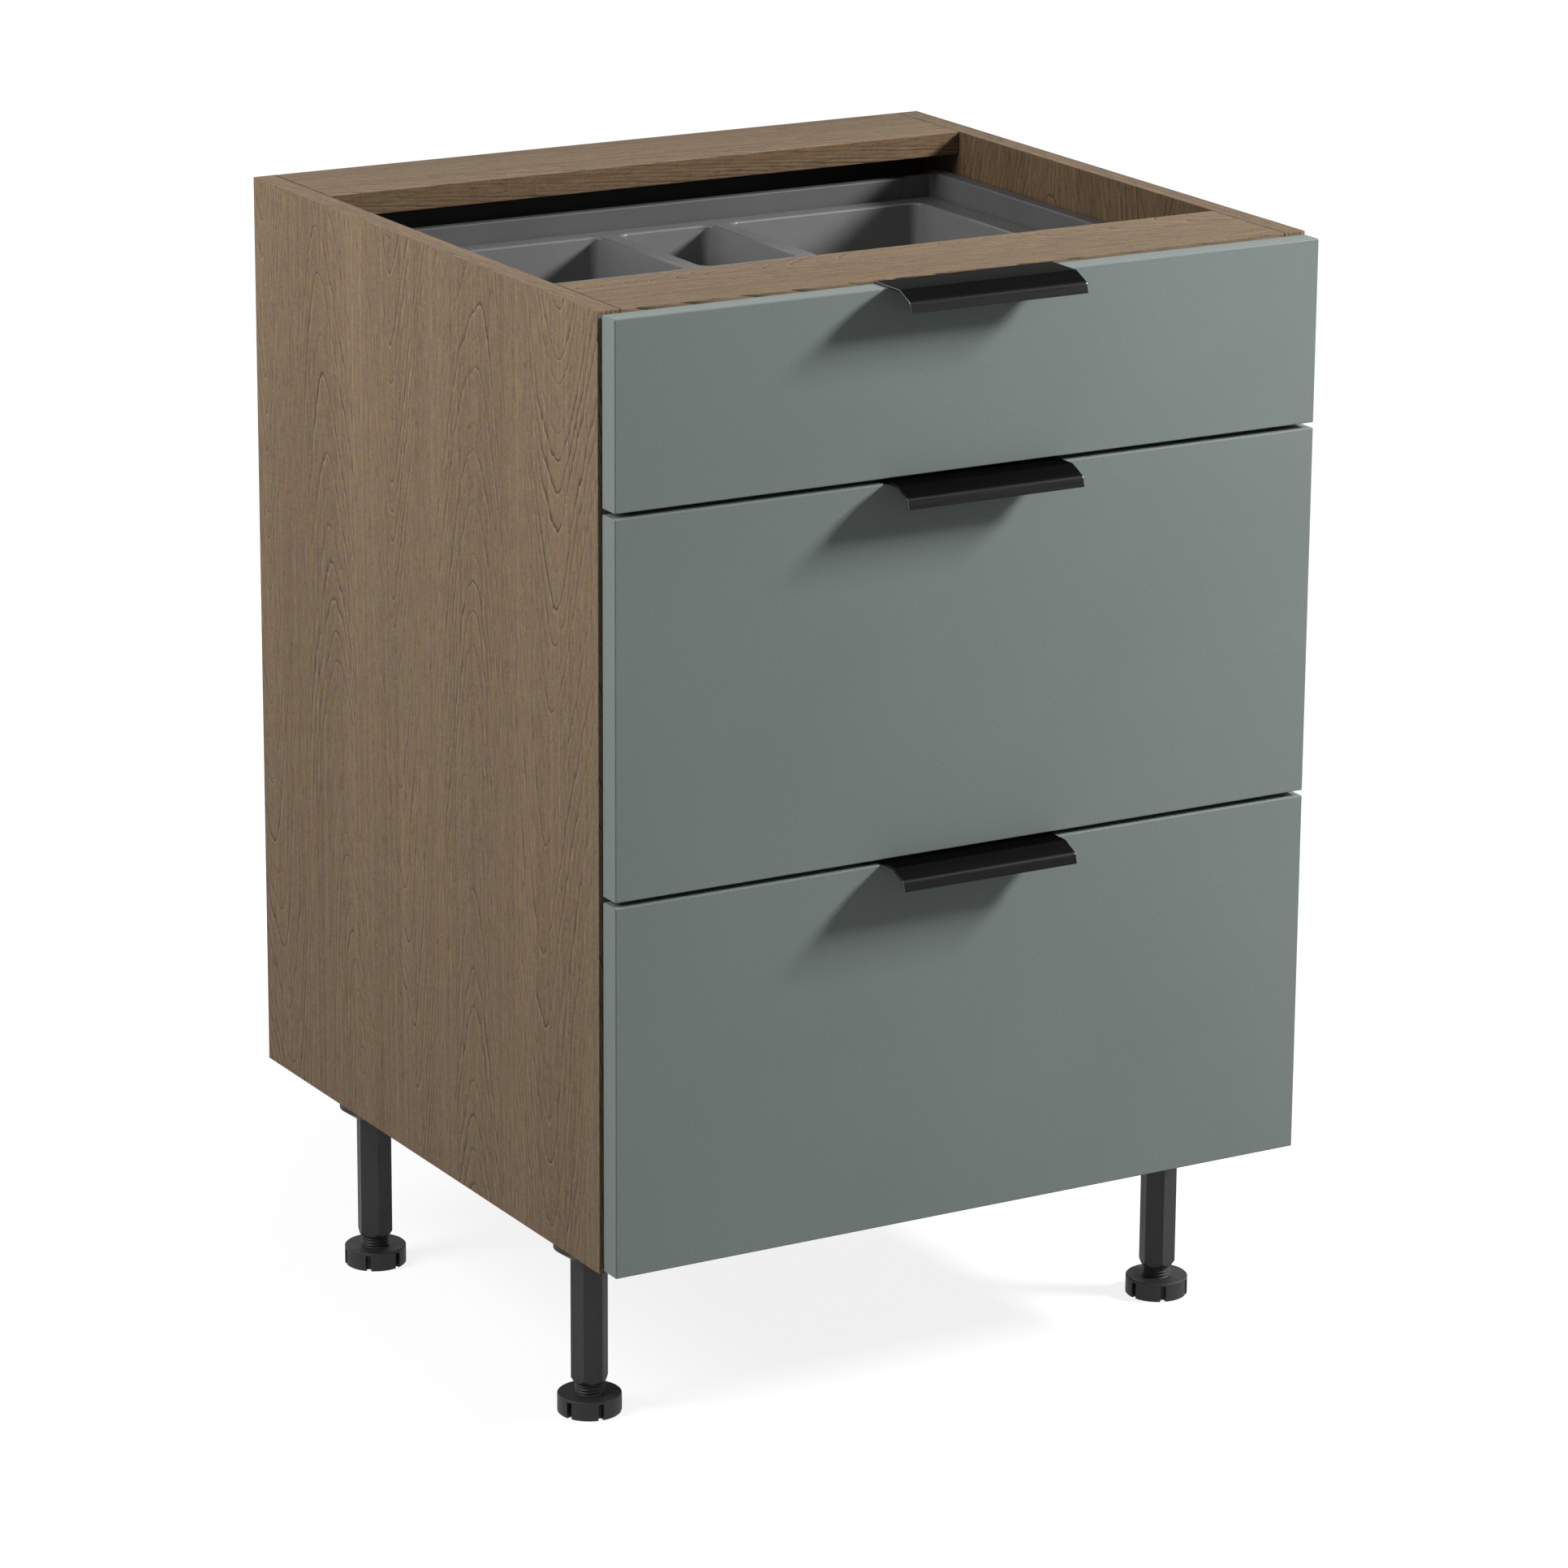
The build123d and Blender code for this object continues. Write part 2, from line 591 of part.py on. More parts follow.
for drawer, lower_edge, front_height, side_height in drawers:
    upper_edge = lower_edge + front_height
    side_low = lower_edge + side_lift
    side_top = side_low + side_height
    web_top = side_low + recess_height + side_sheet
    floor_z = side_low + side_sheet + drawer_bottom_board
    bracket_x = (side_inside + side_outside) / 2
    bracket_z = web_top + bracket_height / 2
    bracket_dowels = [
        (bracket_x, bracket_z - bracket_dowel_spacing / 2),
        (bracket_x, bracket_z + bracket_dowel_spacing / 2),
    ]
    handle_screw_z = upper_edge - handle_flange / 2
    handle_screw_places = [-handle_screw_spacing / 2, handle_screw_spacing / 2]

    # Painted front, with eased edges, drilled from behind for the brackets and the handle
    with BuildPart() as front:
        with Locations((0, front_face, lower_edge)):
            Box(front_width, front_thickness, front_height, align=(Align.CENTER, Align.MIN, Align.MIN))
        fillet(front.edges(), radius=front_edge)
        with Locations(*[(side * x, front_back, z) for side in (-1, 1) for x, z in bracket_dowels]):
            Cylinder(
                bracket_dowel_radius + fit_clearance,
                bracket_dowel_length + fit_clearance,
                rotation=(90, 0, 0),
                align=(Align.CENTER, Align.CENTER, Align.MIN),
                mode=Mode.SUBTRACT,
            )
        with Locations(*[(x, front_back, handle_screw_z) for x in handle_screw_places]):
            Cylinder(
                handle_screw_radius + fit_clearance,
                handle_screw_length - handle_sheet + fit_clearance,
                rotation=(90, 0, 0),
                align=(Align.CENTER, Align.CENTER, Align.MIN),
                mode=Mode.SUBTRACT,
            )
    save(front, f"{drawer}_drawer_front")

    # Edge-pull handle, folded from sheet that lies behind, over and in front of the front's top edge
    slope_start = front_face - handle_overhang
    slope_end = slope_start - handle_slope_run
    with BuildPart() as handle:
        with BuildSketch(Plane.YZ.offset(-handle_length / 2)):
            with BuildLine():
                FilletPolyline(
                    (front_back, upper_edge - handle_flange),
                    (front_back, upper_edge),
                    (slope_start, upper_edge),
                    (slope_end, upper_edge - handle_slope_drop),
                    (slope_end - handle_lip_run, upper_edge - handle_slope_drop - handle_lip_drop),
                    radius=[handle_rear_bend, handle_bend, handle_bend],
                )
                offset(amount=handle_sheet, side=Side.RIGHT)
            make_face()
        extrude(amount=handle_length)
        with Locations(
            *[
                Plane(origin=(x, front_back + handle_sheet, handle_screw_z), z_dir=(0, 1, 0))
                for x in handle_screw_places
            ]
        ):
            CounterSinkHole(
                handle_screw_radius + fit_clearance, handle_screw_head_radius + fit_clearance, handle_sheet
            )
    save(handle, f"{drawer}_drawer_handle")

    with BuildPart() as handle_screws:
        for x in handle_screw_places:
            rear = front_back + handle_sheet
            with BuildSketch(Plane(origin=(x, rear, handle_screw_z), x_dir=(0, -1, 0), z_dir=(-1, 0, 0))):
                with BuildLine():
                    Polyline(
                        (0, 0),
                        (0, handle_screw_head_radius),
                        (handle_screw_head_radius - handle_screw_radius, handle_screw_radius),
                        (handle_screw_length, handle_screw_radius),
                        (handle_screw_length, 0),
                        close=True,
                    )
                make_face()
            revolve(axis=Axis((x, 0, handle_screw_z), (0, 1, 0)))
    save(handle_screws, f"{drawer}_drawer_handle_screws")

    # Steel side: a hollow wall over a recess for the runner, a ledge for the bottom and a rear return
    side_middle = (side_inside + side_outside) / 2
    hollow_height = side_height - recess_height
    with BuildPart() as right_side:
        with BuildSketch(Plane.XZ.offset(-drawer_end)) as section:
            with Locations((side_middle, side_top)):
                Rectangle(side_thickness, hollow_height, align=(Align.CENTER, Align.MAX))
            fillet(section.vertices().group_by(Axis.Y)[-1], radius=side_edge)
            with Locations((side_middle, side_top - side_sheet)):
                Rectangle(
                    side_thickness - 2 * side_sheet,
                    hollow_height - 2 * side_sheet,
                    align=(Align.CENTER, Align.MAX),
                    mode=Mode.SUBTRACT,
                )
            with Locations((side_inside, side_low)):
                Rectangle(side_sheet, recess_height, align=(Align.MIN, Align.MIN))
                Rectangle(drawer_ledge, side_sheet, align=(Align.MAX, Align.MIN))
        extrude(amount=drawer_end - front_back)
        return_low = floor_z + box_clearance
        return_inner = (side_inside, drawer_rear_face)
        with BuildSketch(Plane.XY.offset(return_low)) as return_section:
            with Locations(return_inner):
                Rectangle(return_flange, side_sheet, align=(Align.MAX, Align.MIN))
            with Locations((side_inside, drawer_end)):
                Rectangle(side_sheet, return_flange, align=(Align.MIN, Align.MAX))
            fillet(return_section.vertices().sort_by_distance(return_inner)[0], radius=return_bend)
        extrude(amount=side_top - side_edge - return_low)
    save(right_side, f"{drawer}_drawer_right_side")

    with BuildPart() as left_side:
        mirror(right_side.part, about=Plane.YZ)
    save(left_side, f"{drawer}_drawer_left_side")

    # Steel back behind the return flanges, folded over at the top
    back_top = side_top - drawer_back_drop
    back_front = drawer_rear_face + side_sheet
    with BuildPart() as drawer_back:
        with BuildSketch(Plane.YZ.offset(-side_inside + box_clearance)) as back_section:
            with Locations((back_front, back_top)):
                Rectangle(drawer_back_depth, back_top - floor_z, align=(Align.MIN, Align.MAX))
            fillet(back_section.vertices().group_by(Axis.Y)[-1], radius=side_edge)
            with Locations((back_front + side_sheet, back_top - side_sheet)):
                Rectangle(
                    drawer_back_depth - 2 * side_sheet,
                    back_top - side_sheet - floor_z,
                    align=(Align.MIN, Align.MAX),
                    mode=Mode.SUBTRACT,
                )
            with Locations((drawer_end, floor_z)):
                Rectangle(
                    side_sheet,
                    back_top - floor_z - drawer_back_lip,
                    align=(Align.MAX, Align.MIN),
                    mode=Mode.SUBTRACT,
                )
        extrude(amount=2 * (side_inside - box_clearance))
    save(drawer_back, f"{drawer}_drawer_back")

    # Bottom board, resting on the ledges of the sides
    with BuildPart() as drawer_base:
        with Locations((0, front_back, side_low + side_sheet)):
            Box(
                2 * (side_inside - box_clearance),
                drawer_end - front_back,
                drawer_bottom_board,
                align=(Align.CENTER, Align.MIN, Align.MIN),
            )
    save(drawer_base, f"{drawer}_drawer_base")

    # Front brackets in the hollow of the sides, with dowels pressed into the front
    with BuildPart() as front_brackets:
        with Locations((bracket_x, front_back, web_top)):
            Box(
                side_thickness - 2 * side_sheet - 2 * bracket_clearance,
                bracket_length,
                bracket_height,
                align=(Align.CENTER, Align.MIN, Align.MIN),
            )
        with Locations(*[(x, front_back, z) for x, z in bracket_dowels]):
            Cylinder(
                bracket_dowel_radius,
                bracket_dowel_length,
                rotation=(90, 0, 0),
                align=(Align.CENTER, Align.CENTER, Align.MIN),
            )
        mirror(about=Plane.YZ)
    save(front_brackets, f"{drawer}_drawer_brackets")

    # Telescopic runners: three nested channels on each side
    runner_z = lower_edge + runner_level
    middle_height = runner_height - 2 * runner_sheet - 2 * runner_running_gap
    inner_height = middle_height - 2 * runner_sheet - 2 * runner_running_gap

    with BuildPart() as cabinet_runners:
        with BuildSketch(Plane.XZ.offset(-runner_end)):
            channel(inside_x, inside_x - runner_depth, runner_z, runner_height)
        extrude(amount=runner_length)
        with Locations(
            *[
                Plane(origin=(inside_x - runner_sheet, y, runner_z), z_dir=(-1, 0, 0))
                for y in runner_screw_rows
            ]
        ):
            CounterSinkHole(
                runner_screw_radius + fit_clearance, runner_screw_head_radius + fit_clearance, runner_sheet
            )
        mirror(about=Plane.YZ)
    save(cabinet_runners, f"{drawer}_runner_cabinet_rails")

    with BuildPart() as middle_runners:
        with BuildSketch(Plane.XZ.offset(-runner_end)):
            channel(middle_web, middle_web - runner_depth, runner_z, middle_height)
        extrude(amount=runner_length)
        mirror(about=Plane.YZ)
    save(middle_runners, f"{drawer}_runner_middle_rails")

    with BuildPart() as drawer_runners:
        with BuildSketch(Plane.XZ.offset(-runner_end)):
            channel(inner_web, inner_tip, runner_z, inner_height)
        extrude(amount=runner_length)
        mirror(about=Plane.YZ)
    save(drawer_runners, f"{drawer}_runner_drawer_rails")

# Cutlery tray in the top drawer: a rim with a skirt, and thin-walled pockets that taper downwards
tray_floor = top_front + side_lift + side_sheet + drawer_bottom_board
tray_rim = tray_floor + tray_height
tray_half = side_inside - tray_side_gap
tray_front = front_back + tray_front_gap
tray_rear = drawer_rear_face - tray_rear_gap
pocket_depth = tray_height - tray_wall

right_edge = tray_half - tray_side_rim
small_right = right_edge - long_pocket_width - tray_divider
left_right = small_right - small_pocket_width - tray_divider
left_edge = -right_edge
rear_edge = tray_rear - tray_end_rim
front_edge_y = tray_front + tray_end_rim
row_split = rear_edge - rear_pocket_length
lanes_rear = row_split - tray_divider
lane_width = (small_right - left_edge - (lane_count - 1) * tray_divider) / lane_count
lane_step = lane_width + tray_divider

# Each pocket by its left, right, front and rear edge at the rim
pockets = [
    (right_edge - long_pocket_width, right_edge, front_edge_y, rear_edge),
    (small_right - small_pocket_width, small_right, row_split, rear_edge),
    (left_edge, left_right, row_split, rear_edge),
]
for lane in range(lane_count):
    lane_left = left_edge + lane * lane_step
    pockets.append((lane_left, lane_left + lane_width, front_edge_y, lanes_rear))

with BuildPart() as cutlery_tray:
    with BuildSketch(Plane.XY.offset(tray_rim)):
        with Locations((0, (tray_front + tray_rear) / 2)):
            RectangleRounded(2 * tray_half, tray_rear - tray_front, tray_corner)
    extrude(amount=-tray_skirt)
    with BuildSketch(Plane.XY.offset(tray_rim - tray_wall)):
        with Locations((0, (tray_front + tray_rear) / 2)):
            RectangleRounded(
                2 * (tray_half - tray_wall),
                tray_rear - tray_front - 2 * tray_wall,
                tray_corner - tray_wall,
            )
    extrude(amount=-tray_skirt, mode=Mode.SUBTRACT)
    for left, right, near, far in pockets:
        with BuildSketch(Plane.XY.offset(tray_rim)):
            with Locations(((left + right) / 2, (near + far) / 2)):
                RectangleRounded(
                    right - left + 2 * tray_wall, far - near + 2 * tray_wall, pocket_corner + tray_wall
                )
        extrude(amount=-(pocket_depth + tray_wall), taper=tray_taper)
    for left, right, near, far in pockets:
        with BuildSketch(Plane.XY.offset(tray_rim)):
            with Locations(((left + right) / 2, (near + far) / 2)):
                RectangleRounded(right - left, far - near, pocket_corner)
        extrude(amount=-pocket_depth, taper=tray_taper, mode=Mode.SUBTRACT)
    fillet(cutlery_tray.edges().group_by(Axis.Z)[-1], radius=pocket_edge)
save(cutlery_tray, "cutlery_tray")
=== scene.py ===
import bmesh
import bpy
import numpy as np
from mathutils import Euler, Matrix, Vector


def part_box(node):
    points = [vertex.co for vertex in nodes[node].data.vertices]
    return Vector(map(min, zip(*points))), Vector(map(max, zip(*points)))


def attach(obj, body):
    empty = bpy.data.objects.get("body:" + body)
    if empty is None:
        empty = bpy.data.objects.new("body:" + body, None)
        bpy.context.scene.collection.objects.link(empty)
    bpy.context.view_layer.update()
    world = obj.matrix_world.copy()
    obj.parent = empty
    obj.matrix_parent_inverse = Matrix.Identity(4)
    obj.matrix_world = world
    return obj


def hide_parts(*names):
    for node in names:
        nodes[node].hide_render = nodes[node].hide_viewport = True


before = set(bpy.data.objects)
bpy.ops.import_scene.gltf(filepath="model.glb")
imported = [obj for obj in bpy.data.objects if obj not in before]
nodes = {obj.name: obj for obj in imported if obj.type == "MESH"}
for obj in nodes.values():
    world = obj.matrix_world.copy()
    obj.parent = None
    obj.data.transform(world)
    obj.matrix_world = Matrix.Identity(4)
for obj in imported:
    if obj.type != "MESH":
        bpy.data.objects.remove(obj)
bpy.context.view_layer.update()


# Carcass boards: two sides, a bottom and two top rails of 18 mm chipboard, faced and edged with a brown
# oak decor whose pores are pressed into the skin. The grain runs up the sides, along the rails and the
# bottom, and from front to back on the edging of the sides' top edges.
def shader_node(tree, kind, inputs, **settings):
    """One shader node; each input is a value, or the output socket that feeds it."""
    made = tree.nodes.new(kind)
    for name, value in settings.items():
        setattr(made, name, value)
    for key, value in inputs.items():
        if isinstance(value, bpy.types.NodeSocket):
            tree.links.new(value, made.inputs[key])
        else:
            made.inputs[key].default_value = value
    return made


def new_finish(name, **sockets):
    """A material with one surface shader, and the coordinates in the piece's own metres."""
    material = bpy.data.materials.new(name)
    material.use_nodes = True
    tree = material.node_tree
    skin = tree.nodes["Principled BSDF"]
    for key, value in sockets.items():
        skin.inputs[key.replace("_", " ")].default_value = value
    return material, tree, skin, tree.nodes.new("ShaderNodeTexCoord")


def noise(tree, place, cells, detail=2.0, roughness=0.5, distortion=0.0):
    """Cloudy values from 0 to 1; cells is the number per metre, one for all directions or one for each."""
    stretch = cells if isinstance(cells, tuple) else (cells, cells, cells)
    scaled = shader_node(tree, "ShaderNodeVectorMath", {0: place, 1: stretch}, operation="MULTIPLY")
    made = shader_node(tree, "ShaderNodeTexNoise", {
        "Vector": scaled.outputs[0], "Scale": 1.0, "Detail": detail,
        "Roughness": roughness, "Distortion": distortion})
    return made.outputs[0]


def remap(tree, value, low, high, to_low=0.0, to_high=1.0):
    """A value's range carried to another range, held at both ends."""
    made = shader_node(tree, "ShaderNodeMapRange", {
        "Value": value, "From Min": low, "From Max": high, "To Min": to_low, "To Max": to_high})
    return made.outputs[0]


def calc(tree, operation, first, second=0.0):
    """One step of arithmetic on one value or two."""
    made = shader_node(tree, "ShaderNodeMath", {0: first, 1: second}, operation=operation)
    return made.outputs[0]


def weighed(tree, first, first_share, second, second_share):
    """Two values added, each in its share."""
    return calc(tree, "ADD", calc(tree, "MULTIPLY", first, first_share),
                calc(tree, "MULTIPLY", second, second_share))


def tint(tree, share, first, second, blend="MIX"):
    """One colour laid over another in the given share."""
    made = shader_node(tree, "ShaderNodeMix", {"Factor": share}, data_type="RGBA", blend_type=blend)
    for key, colour in ((6, first), (7, second)):
        if isinstance(colour, bpy.types.NodeSocket):
            tree.links.new(colour, made.inputs[key])
        else:
            made.inputs[key].default_value = (*colour, 1.0)
    return made.outputs[2]


def relief(tree, skin, height, depth, strength=1.0):
    """Fine relief of the given depth in metres on the surface."""
    bump = shader_node(tree, "ShaderNodeBump", {"Height": height, "Distance": depth, "Strength": strength})
    tree.links.new(bump.outputs[0], skin.inputs["Normal"])


# The figure's sizes in metres and rings, and its noises in cells per metre, twice across the grain and
# once along it.
FLAME_WIDTH, FLAME_RINGS, TAPER_RINGS, SWELL_RINGS = 0.24, 7.4, -42.0, 15.0
FLAME_POINT, FLAME_START, FLAME_BEND, FLAME_WAVER = 0.95, 1.0, 5.0, 0.007
LINE_WIDTH, LEAST_LINE = 0.0023, 0.13
WAVER_CELLS, BEND_CELLS, SWELL_CELLS = (110, 110, 16), (3.0, 3.0, 0.9), (5.0, 5.0, 1.5)
FADE_CELLS, FIBRE_CELLS, PORE_CELLS = (30, 30, 6), (420, 420, 45), (500, 500, 70)
DRIFT_CELLS, STREAK_CELLS, GLOW_CELLS = (17, 17, 0.8), (240, 240, 1.6), (140, 140, 6)
SPECKLE_CELLS, SPECKLE_SHARE = (300, 300, 520), 0.055
# What makes the lines fade or the ground vary: the range of each cause, then the strength at its two ends.
CLOUD_FADE, SLOPE_FADE, RING_FADE = (0.34, 0.6, 0.45, 1.0), (0.6, 1.0, 1.0, 0.8), (0.25, 0.8, 0.25, 1.1)
EDGE_FADE, AXIS_FADE = (0.0, 1.0, 1.0, 1.7), (0.15, 0.75, 0.4, 1.3)
FIBRE_SPAN, STREAK_SPAN = (0.2, 0.8, 0.72, 1.28), (0.25, 0.75, 0.85, 1.15)
PORE_SPAN, PORES_BY_LINES, GLOW_SPAN = (0.63, 0.70), 0.06, (0.5, 0.72)
# The ground's two tones, and the inks over it, each with its share.
OAK_PALE, OAK_BROWN = (0.235, 0.169, 0.109), (0.186, 0.133, 0.087)
WARM_INK, RIM_INK = ((0.264, 0.168, 0.090), 0.5), ((0.310, 0.219, 0.126), 0.8)
LINE_INK, PORE_INK = ((0.078, 0.065, 0.055), 0.95), ((0.068, 0.056, 0.048), 0.6)
# The first colour on the next line is painted shade, laid on the sides' inner faces and the rear edges of
# lying boards.
OAK_PAINTED_SHADE, JOINT_AT, JOINT_SHADE = (0.60, 0.55, 0.50), 0.2812, 0.25
# How far a face's direction leans before it counts as an upper or lower edge, any edge, or an inner face.
UPWARD, EDGEWISE, INWARD, EDGE_DRAW = 0.7, 0.5, -0.1, (1.5, 1.5, 0.6)


def growth_rings(tree, figure, place, on_edge):
    """The dark lines of the growth rings and the pale rims beside them, each from 0 to 1.

    The ring count is a pointed wave across the board, the arcsine of a flattened cosine, plus a taper
    along the grain and a slow swell. Its level lines are nested arches that point up and down by turns.
    The count less its whole part climbs from 0 to 1 between two rings: the last share of the climb is the
    line and the first the rim, and the share follows the wave's slope, so that lines keep their width.
    Lines fade in clouds, on the flanks, from ring to ring and between the arches, and are stronger on
    the edging."""
    spread = shader_node(tree, "ShaderNodeSeparateXYZ", {0: figure}).outputs
    waver = noise(tree, figure, WAVER_CELLS, detail=2.5, roughness=0.55)
    across = calc(tree, "ADD", calc(tree, "ADD", spread[0], spread[1]),
                  calc(tree, "MULTIPLY", waver, FLAME_WAVER))
    bend = noise(tree, figure, BEND_CELLS, detail=1.5)
    swing = weighed(tree, across, 2 * np.pi / FLAME_WIDTH, bend, FLAME_BEND)
    swing = calc(tree, "ADD", swing, FLAME_START)
    crest = calc(tree, "MULTIPLY", calc(tree, "COSINE", swing), FLAME_POINT)
    swell = noise(tree, figure, SWELL_CELLS, detail=2.0)
    rings = weighed(tree, calc(tree, "ARCSINE", crest), FLAME_RINGS, spread[2], TAPER_RINGS)
    rings = calc(tree, "ADD", rings, calc(tree, "MULTIPLY", swell, SWELL_RINGS))
    climb = calc(tree, "FRACT", rings)
    strength = shader_node(tree, "ShaderNodeTexWhiteNoise", {"W": calc(tree, "ROUND", rings)},
                           noise_dimensions="1D").outputs[0]

    slope = calc(tree, "SQRT", calc(tree, "SUBTRACT", 1.0, calc(tree, "MULTIPLY", crest, crest)))
    slope = calc(tree, "DIVIDE", calc(tree, "ABSOLUTE", calc(tree, "SINE", swing)), slope)
    share = calc(tree, "MULTIPLY", slope, LINE_WIDTH * FLAME_RINGS * 2 * np.pi / FLAME_WIDTH)
    share = calc(tree, "MAXIMUM", share, LEAST_LINE)
    near_axis = calc(tree, "ABSOLUTE", crest)
    fading = remap(tree, noise(tree, place, FADE_CELLS), *CLOUD_FADE)
    for cause, fade in ((slope, SLOPE_FADE), (strength, RING_FADE), (on_edge, EDGE_FADE),
                        (near_axis, AXIS_FADE)):
        fading = calc(tree, "MULTIPLY", fading, remap(tree, cause, *fade))
    lines = calc(tree, "MULTIPLY", remap(tree, climb, calc(tree, "SUBTRACT", 1.0, share), 1.0), fading)
    rims = calc(tree, "MULTIPLY", remap(tree, climb, share, 0.0), fading)
    return lines, rims


def oak_decor(name, lengthwise, broad, end_lengthwise=None):
    """Oak print: a ground that drifts between two tones, with warm streaks, growth rings, pores that are
    the peaks of a fine noise and thicker on the lines, long streaks, and an ink speckle over all. On the
    edging the figure is drawn in crosswise. Painted shade darkens the sides' inner faces and the rear edges
    of lying boards, and lying boards end in a dark joint against the sides.

    lengthwise is the order of the axes that puts the grain last, broad the axis through the board, and
    end_lengthwise the order on upper and lower edges that have a strip of their own."""
    material, tree, skin, coords = new_finish(name, IOR=1.45, Specular_IOR_Level=0.1)
    at = shader_node(tree, "ShaderNodeSeparateXYZ", {0: coords.outputs["Object"]}).outputs
    facing = shader_node(tree, "ShaderNodeSeparateXYZ", {0: coords.outputs["Normal"]}).outputs

    def ordered(order):
        """The place with its axes in the given order."""
        axes = {slot: at["XYZ".index(axis)] for slot, axis in enumerate(order)}
        return shader_node(tree, "ShaderNodeCombineXYZ", axes).outputs[0]

    def either(share, first, second):
        """The first of two places, or the second where share is 1."""
        inputs = {"Factor": share, 4: first, 5: second}
        return shader_node(tree, "ShaderNodeMix", inputs, data_type="VECTOR").outputs[1]

    place = ordered(lengthwise)
    if end_lengthwise:
        upward = calc(tree, "GREATER_THAN", calc(tree, "ABSOLUTE", facing[2]), UPWARD)
        place = either(upward, place, ordered(end_lengthwise))
    on_edge = calc(tree, "LESS_THAN", calc(tree, "ABSOLUTE", facing["XYZ".index(broad)]), EDGEWISE)
    drawn_in = either(on_edge, (1.0, 1.0, 1.0), EDGE_DRAW)
    figure = shader_node(tree, "ShaderNodeVectorMath", {0: place, 1: drawn_in}, operation="MULTIPLY")
    lines, rims = growth_rings(tree, figure.outputs[0], place, on_edge)

    fibres = noise(tree, place, FIBRE_CELLS, detail=2.5, roughness=0.6)
    pits = calc(tree, "ADD", noise(tree, place, PORE_CELLS, detail=2, roughness=0.6),
                calc(tree, "MULTIPLY", lines, PORES_BY_LINES))
    pores = remap(tree, pits, *PORE_SPAN)
    drift = noise(tree, place, DRIFT_CELLS, detail=3)
    glow = remap(tree, noise(tree, place, GLOW_CELLS, detail=2), *GLOW_SPAN)
    colour = tint(tree, remap(tree, drift, 0.3, 0.7), OAK_PALE, OAK_BROWN)
    for layer, (ink, share) in ((glow, WARM_INK), (rims, RIM_INK), (lines, LINE_INK), (pores, PORE_INK)):
        colour = tint(tree, calc(tree, "MULTIPLY", layer, share), colour, ink)

    long_lines = noise(tree, place, STREAK_CELLS, detail=2)
    streak = calc(tree, "MULTIPLY", remap(tree, fibres, *FIBRE_SPAN), remap(tree, long_lines, *STREAK_SPAN))
    # Painted shade: this mask marks the sides' inner faces, or the rear edges of lying boards, where the
    # colour is darkened.
    if broad == "X":
        painted_shade = calc(tree, "LESS_THAN", calc(tree, "MULTIPLY", facing[0], at[0]), INWARD)
    else:
        painted_shade = calc(tree, "MULTIPLY", on_edge, calc(tree, "GREATER_THAN", at[1], 0.0))
        at_joint = calc(tree, "GREATER_THAN", calc(tree, "ABSOLUTE", at[0]), JOINT_AT)
        streak = calc(tree, "MULTIPLY", streak, remap(tree, at_joint, 0.0, 1.0, 1.0, JOINT_SHADE))
    streaks = shader_node(tree, "ShaderNodeCombineColor", {0: streak, 1: streak, 2: streak}).outputs[0]
    speckle = noise(tree, place, SPECKLE_CELLS, detail=1.0).node.outputs["Color"]
    colour = tint(tree, 1.0, colour, streaks, blend="MULTIPLY")
    colour = tint(tree, SPECKLE_SHARE, colour, speckle, blend="LINEAR_LIGHT")
    # The painted shade is multiplied into the colour here.
    colour = tint(tree, painted_shade, colour, OAK_PAINTED_SHADE, blend="MULTIPLY")
    tree.links.new(colour, skin.inputs["Base Color"])
    rough = remap(tree, calc(tree, "ADD", pores, fibres), 0.2, 1.4, to_low=0.6, to_high=0.78)
    tree.links.new(rough, skin.inputs["Roughness"])
    pressed = weighed(tree, pores, 0.7, lines, 0.4)
    height = calc(tree, "SUBTRACT", calc(tree, "MULTIPLY", fibres, 0.4), pressed)
    relief(tree, skin, height, depth=0.0003, strength=0.18)
    return material


def dress(finish, *names):
    """Gives CAD pieces their finish."""
    for name in names:
        for slot in nodes[name].material_slots:
            slot.link = "OBJECT"
            slot.material = finish


dress(oak_decor("oak_upright", "XYZ", "X", end_lengthwise="XZY"), "left_side_panel", "right_side_panel")
dress(oak_decor("oak_lengthwise", "YZX", "Z"), "carcass_bottom", "front_top_rail", "rear_top_rail")


# Back: 3 mm hardboard, lacquered nearly black, slid into grooves all round. The lacquer is thin, so the
# pressed fibres still show as a faint cloudy mottle.
def coated(tree, skin, cloud, tones, wear, roughness, span=(0.3, 0.7)):
    """Carries one noise into two tones of colour and another into two roughnesses; span is the part of
    the noises' range that does so."""
    tree.links.new(tint(tree, remap(tree, cloud, *span), *tones), skin.inputs["Base Color"])
    tree.links.new(remap(tree, wear, *span, *roughness), skin.inputs["Roughness"])


def lacquered_hardboard():
    """A cloud gives tone and gloss, and a fine noise the fibres' relief."""
    material, tree, skin, coords = new_finish("dark_hardboard")
    place = coords.outputs["Object"]
    cloud = noise(tree, place, 60, detail=5, roughness=0.65)
    coated(tree, skin, cloud, tones=((0.012, 0.012, 0.0125), (0.021, 0.0205, 0.02)),
           wear=cloud, roughness=(0.45, 0.6))
    relief(tree, skin, noise(tree, place, 900, detail=3), depth=0.0002, strength=0.3)
    return material


dress(lacquered_hardboard(), "back_panel")


# Knock-down fittings: beech dowels, and zinc-plated bolts that cams draw tight into the ends of the boards.
# The cams' slotted faces show from below the rails and the bottom.
def raw_beech():
    """A noise drawn out along the dowels gives their fibres."""
    material, tree, skin, coords = new_finish("raw_beech")
    fibres = noise(tree, coords.outputs["Object"], (60, 1400, 1400), detail=3)
    coated(tree, skin, fibres, tones=((0.60, 0.40, 0.24), (0.46, 0.29, 0.16)),
           wear=fibres, roughness=(0.6, 0.8))
    relief(tree, skin, fibres, depth=0.0002, strength=0.4)
    return material


